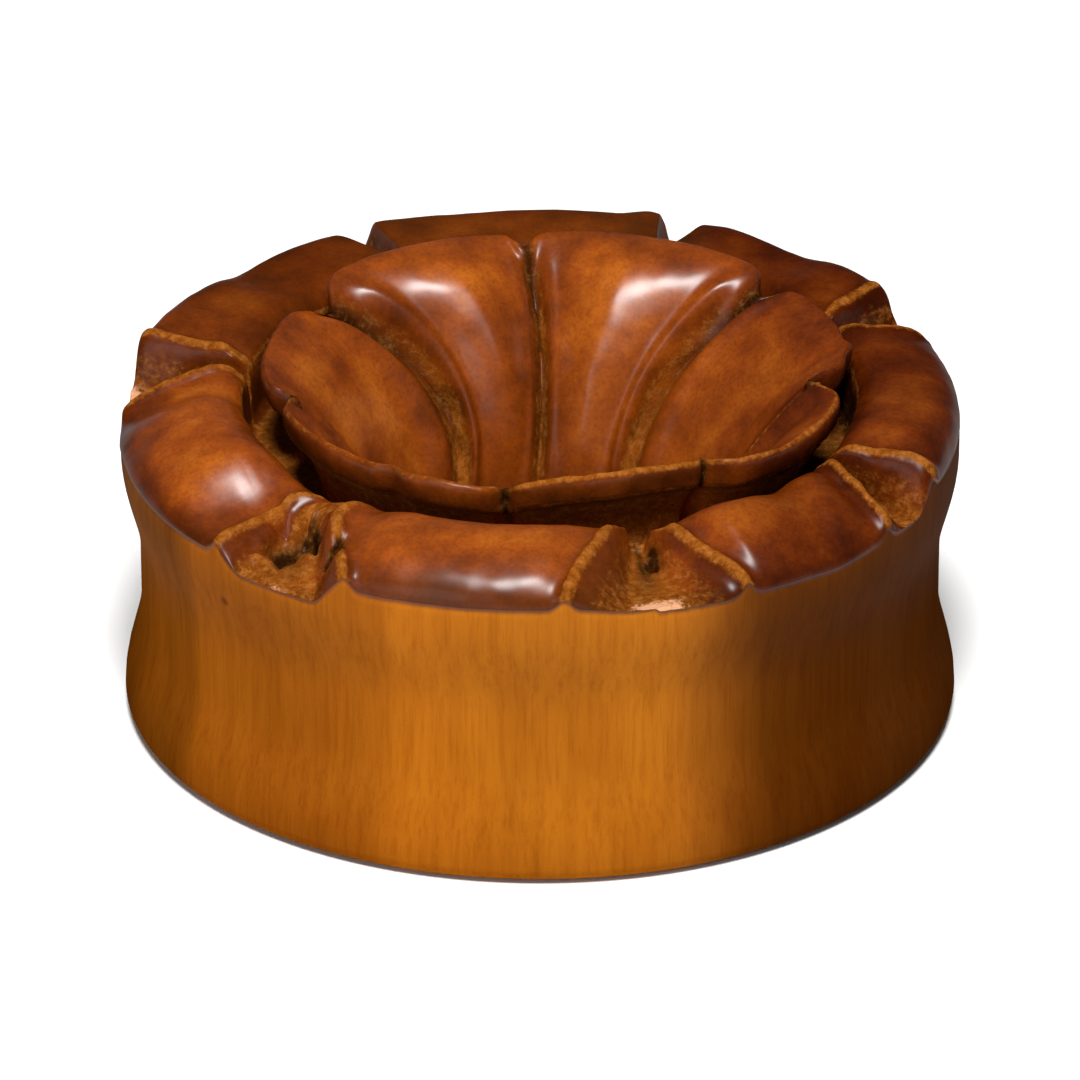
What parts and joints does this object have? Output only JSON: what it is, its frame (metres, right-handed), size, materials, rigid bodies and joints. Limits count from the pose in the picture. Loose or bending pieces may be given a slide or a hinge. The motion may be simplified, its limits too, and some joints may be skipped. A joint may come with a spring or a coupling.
{
  "type": "ear plug gauge",
  "caption": "Carved wooden double-flared ear plug with a through bore and a flower of inner and outer petals on its front face.",
  "frame": {"origin": "centre of the flat back face, which the plug lies on", "axes": "+Z along the bore from the back face to the carved flower, -Y towards the viewer, +X to the viewer's right"},
  "size_m": [0.0398, 0.0396, 0.0173],
  "materials": {
    "carved_wood": "oiled and hand polished"
  },
  "bodies": {
    "root": {"ear_plug": "carved_wood"}
  },
  "joints": []
}
